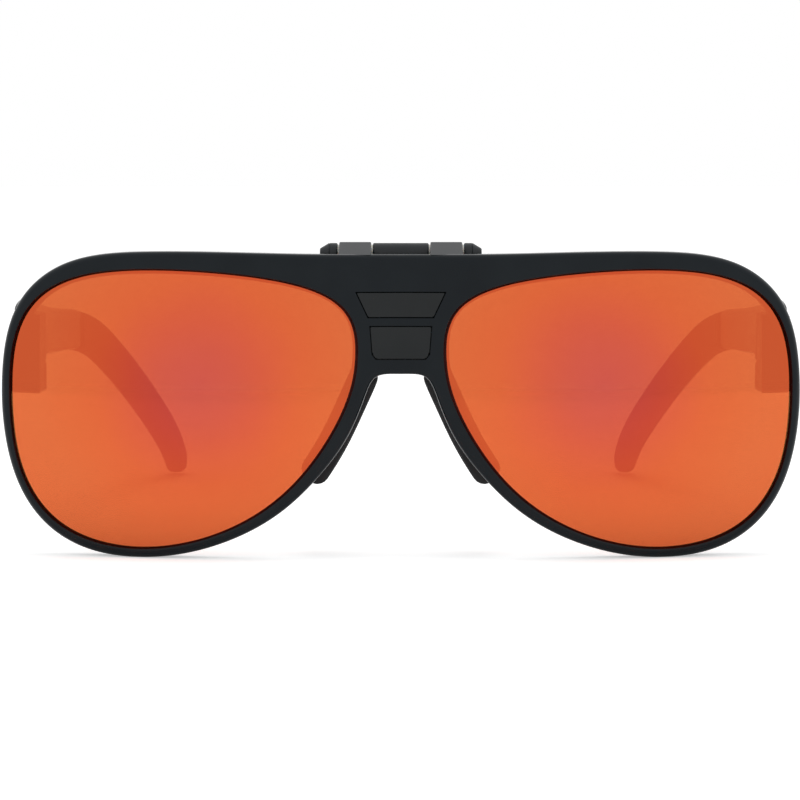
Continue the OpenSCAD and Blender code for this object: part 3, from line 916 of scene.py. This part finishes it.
def arm_heights(back):
    """Lowest and highest z of the arm's side view at a distance back."""
    loop = smooth_loop(ARM_SIDE, 16)
    crossings = [a[1] + (b[1] - a[1]) * (back - a[0]) / (b[0] - a[0])
                 for a, b in zip(loop, np.roll(loop, -1, 0))
                 if (a[0] - back) * (b[0] - back) <= 0 and a[0] != b[0]]
    return min(crossings), max(crossings)


def add_temple_arm(bm):
    rings = []
    ends = (0, 0.06, 0.2, 0.4)
    stations = [BUTT + e for e in ends + (0.8, 1.2, 1.5, 1.75, 1.95, 2.1, 2.19)]
    stations += list(np.arange(BUTT + 3, SLEEVE_FROM - 1, 1.5))
    stations += [SLEEVE_FROM - e for e in reversed(ends)]
    for back in stations:
        inset = rounding(min(back - BUTT, SLEEVE_FROM - back), 0.4)
        low, high = arm_heights(back)
        ring = rounded_ring(ARM_T / 2 - inset, (high - low) / 2 - inset, 1.25, 6)
        x, y = plan_place(back, ring[:, 0])
        y = np.clip(y, FRONT_Y + BUTT, FRONT_Y + SLEEVE_FROM)
        # Relieved round the fork's ears, which it turns past
        relief = np.sqrt(np.maximum(RELIEF_R ** 2 - (y - PIVOT_Y) ** 2, 0))
        x = np.where(relief > 0, np.maximum(x, PIVOT_X + relief), x)
        rings.append(list(zip(x, y, (low + high) / 2 + ring[:, 1])))
    loft(bm, rings)
    barrel_part(bm, on_temple_axis(1), TONGUE, FORK_R, TONGUE_LOW, TONGUE_HIGH, SCREW_R + 0.05)


def sleeve_section(point, direction, half_h, inset):
    ring = rounded_ring(SLEEVE_T / 2 - inset, max(half_h - inset, 0.05), 1.9, 7)
    back = point[0] - ring[:, 1] * direction[1]
    x, y = plan_place(back, ring[:, 0])
    return list(zip(x, np.maximum(y, FRONT_Y + SLEEVE_FROM), point[1] + ring[:, 1] * direction[0]))


def add_ear_sleeve(bm):
    """A rounded band that starts square against the arm and ends in a round tip."""
    line = smooth_line(SLEEVE_SIDE, 12)
    line = line[(line[:, 0] >= SLEEVE_FROM) & (line[:, 0] <= TIP_BACK)]
    first = np.array([SLEEVE_FROM, np.interp(SLEEVE_FROM, *smooth_line(SLEEVE_SIDE, 12).T)])
    along = path_frames(line)
    upright = np.clip((line[:, 0] - SLEEVE_FROM) / 12, 0, 1)
    angle = np.arctan2(along[:, 1], along[:, 0]) * upright
    rings = [sleeve_section(first + (e, 0), (1, 0), SLEEVE_HALF_H[0], rounding(e, 0.5))
             for e in (0, 0.06, 0.22, 0.5)]
    shares = np.linspace(0, 1, len(line))
    for point, turn, share in zip(line, angle, shares):
        if point[0] > SLEEVE_FROM + 1:
            half_h = SLEEVE_HALF_H[0] + (SLEEVE_HALF_H[1] - SLEEVE_HALF_H[0]) * share
            rings.append(sleeve_section(point, (math.cos(turn), math.sin(turn)), half_h, 0))
    direction = np.array([math.cos(angle[-1]), math.sin(angle[-1])])
    for t in np.radians([18, 36, 52, 66, 78, 87]):
        point = line[-1] + direction * SLEEVE_HALF_H[1] * math.sin(t)
        rings.append(sleeve_section(point, direction, SLEEVE_HALF_H[1] * math.cos(t),
                                    1.5 * (1 - math.cos(t)) ** 2 * 0.5))
    loft(bm, rings)


def cord_hole_cutter(bm, side):
    """A round hole through the tip whose mouths are flared."""
    x, _ = plan_place(TIP_BACK, 0)
    half = SLEEVE_T / 2
    profile = [(-4, 0.0), (-4, 1.75), (-half - 0.1, 1.75), (-half + 0.12, 1.4), (-half + 0.5, 1.17),
               (-half + 0.9, CORD_HOLE_R), (half - 0.9, CORD_HOLE_R), (half - 0.5, 1.17),
               (half - 0.12, 1.4), (half + 0.1, 1.75), (4, 1.75), (4, 0.0)]
    rings = [[bm.verts.new((side * (x + a), FRONT_Y + TIP_BACK + max(r, 1e-3) * math.cos(t),
                            TIP_Z + max(r, 1e-3) * math.sin(t)))
              for t in np.arange(40) * math.tau / 40] for a, r in profile]
    stitch(bm, rings, closed_columns=True)
    for ring in (rings[0], rings[-1]):
        bm.faces.new(ring)


# %% Build the temples
for name, side in SIDES:
    body = name + "_temple"
    bm = bmesh.new()
    add_temple_arm(bm)
    if side < 0:
        flip_sides(bm)
    new_piece("temple_arm_moulding_" + name, bm, body, arm_black, ["temple_arm_" + name])
    bm = bmesh.new()
    add_ear_sleeve(bm)
    if side < 0:
        flip_sides(bm)
    sleeve = new_piece("ear_sleeve_soft_" + name, bm, body, soft_rubber, ["ear_sleeve_" + name])
    hole = bmesh.new()
    cord_hole_cutter(hole, side)
    cut(sleeve, hole)
    sleeve.data.set_sharp_from_angle(angle=math.radians(50))

# %% [markdown]
# ## Parts kept from the model
#
# The hinge pin, the screws, the steel cores and the nylon washers are true as modelled. They keep
# their shapes and get turned steel or nylon.

# %% Steel and nylon parts
for node, part in frame["nodes"].items():
    if part.hide_render:
        continue
    finish = nylon if "washers" in node else steel
    part.data.materials.clear()
    part.data.materials.append(finish)
    part.data.shade_smooth()
    part.data.set_sharp_from_angle(angle=math.radians(30))
    print("kept", node)

# %% [markdown]
# ## Floor, light and camera
#
# A white studio: a matt white floor that reads as white to the camera and still takes the object's
# shadow, a pale surround, and five round soft lamps. Mirrored lenses show whatever stands in front
# of them, so the floor glows as much as the surround in reflections, and the lamps are left out of
# them. The camera looks at the front from half a metre, a little above it.

# %% Floor and surround
ROOM_LIGHT = 0.65
# Extra glow of the floor: to the camera, and to mirrors and lenses beside the object and far away
CAMERA_GLOW, NEAR_GLOW, FAR_GLOW = 0.45, 0.15, 0.38


def larger(nodes, links, a, b):
    node = nodes.new("ShaderNodeMath")
    node.operation = "MAXIMUM"
    links.new(a, node.inputs[0])
    links.new(b, node.inputs[1])
    return node.outputs["Value"]


def scaled(nodes, links, value, low, high):
    """Turns 0 to 1 into low to high."""
    node = nodes.new("ShaderNodeMapRange")
    node.inputs["To Min"].default_value = low
    node.inputs["To Max"].default_value = high
    links.new(value, node.inputs["Value"])
    return node.outputs["Result"]


def white_floor():
    material, nodes, links, shader = start_finish("studio_floor")
    fleck = object_noise(nodes, links, 12, 3)
    links.new(ramp(nodes, links, fleck, [(0.3, (0.88, 0.88, 0.88)), (0.7, (0.90, 0.90, 0.90))]),
              shader.inputs["Base Color"])
    shader.inputs["Roughness"].default_value = 0.9
    shader.inputs["Specular IOR Level"].default_value = 0.1
    shader.inputs["Emission Color"].default_value = (1, 1, 1, 1)
    path = nodes.new("ShaderNodeLightPath")
    place = nodes.new("ShaderNodeTexCoord")
    distance = nodes.new("ShaderNodeVectorMath")
    distance.operation = "LENGTH"
    links.new(place.outputs["Object"], distance.inputs[0])
    far = nodes.new("ShaderNodeMapRange")
    far.inputs["From Min"].default_value = 0.2
    far.inputs["From Max"].default_value = 1.6
    far.inputs["To Min"].default_value = NEAR_GLOW
    far.inputs["To Max"].default_value = FAR_GLOW
    links.new(distance.outputs["Value"], far.inputs["Value"])
    mirrored = nodes.new("ShaderNodeMath")
    mirrored.operation = "MULTIPLY"
    links.new(larger(nodes, links, path.outputs["Is Glossy Ray"], path.outputs["Is Transmission Ray"]),
              mirrored.inputs[0])
    links.new(far.outputs["Result"], mirrored.inputs[1])
    seen = scaled(nodes, links, path.outputs["Is Camera Ray"], 0, CAMERA_GLOW)
    links.new(larger(nodes, links, seen, mirrored.outputs["Value"]), shader.inputs["Emission Strength"])
    return material


floor_mesh = bpy.data.meshes.new("studio_floor")
floor_mesh.from_pydata([(-6, -6, 0), (6, -6, 0), (6, 6, 0), (-6, 6, 0)], [], [(0, 1, 2, 3)])
floor = bpy.data.objects.new("studio_floor", floor_mesh)
bpy.context.scene.collection.objects.link(floor)
floor_mesh.materials.append(white_floor())

world = bpy.data.worlds.new("pale_room")
bpy.context.scene.world = world
world.use_nodes = True
nodes, links = world.node_tree.nodes, world.node_tree.links
path = nodes.new("ShaderNodeLightPath")
seen = larger(nodes, links, path.outputs["Is Camera Ray"],
              larger(nodes, links, path.outputs["Is Glossy Ray"], path.outputs["Is Transmission Ray"]))
links.new(scaled(nodes, links, seen, ROOM_LIGHT, 1.0), nodes["Background"].inputs["Strength"])
nodes["Background"].inputs["Color"].default_value = (1, 1, 1, 1)


# %% Lamps and camera
def soft_lamp(name, place, size, power):
    """A round lamp aimed at the object, which shows in no reflection."""
    light = bpy.data.lights.new(name, "AREA")
    light.shape, light.size, light.energy = "DISK", size, power
    lamp = bpy.data.objects.new(name, light)
    bpy.context.scene.collection.objects.link(lamp)
    lamp.location = place
    lamp.rotation_euler = (Vector((0, 0, 0.03)) - lamp.location).to_track_quat("-Z", "Y").to_euler()
    # A mirror lens would show each lamp as a bright disc
    lamp.visible_glossy = False


soft_lamp("overhead", (0.03, 0.02, 0.9), 0.5, 2.6)
soft_lamp("left_side", (0.95, -0.02, 0.22), 0.8, 1.4)
soft_lamp("right_side", (-0.95, 0.02, 0.2), 0.8, 1.4)
soft_lamp("left_front", (0.7, -0.7, 0.5), 0.5, 0.5)
soft_lamp("right_front", (-0.7, -0.6, 0.45), 0.5, 0.4)

TILT, DISTANCE = math.radians(5), 0.510
look = Vector((0, math.cos(TILT), -math.sin(TILT)))
target = Vector((-0.15 * MM, FRONT_Y * MM, 29.8 * MM))
camera_data = bpy.data.cameras.new("camera")
camera_data.lens, camera_data.sensor_width = 126, 36
camera_data.clip_start = 0.01
camera = bpy.data.objects.new("camera", camera_data)
bpy.context.scene.collection.objects.link(camera)
camera.location = target - look * DISTANCE
camera.rotation_euler = look.to_track_quat("-Z", "Y").to_euler()
bpy.context.scene.camera = camera
bpy.context.scene.view_settings.view_transform = "Standard"
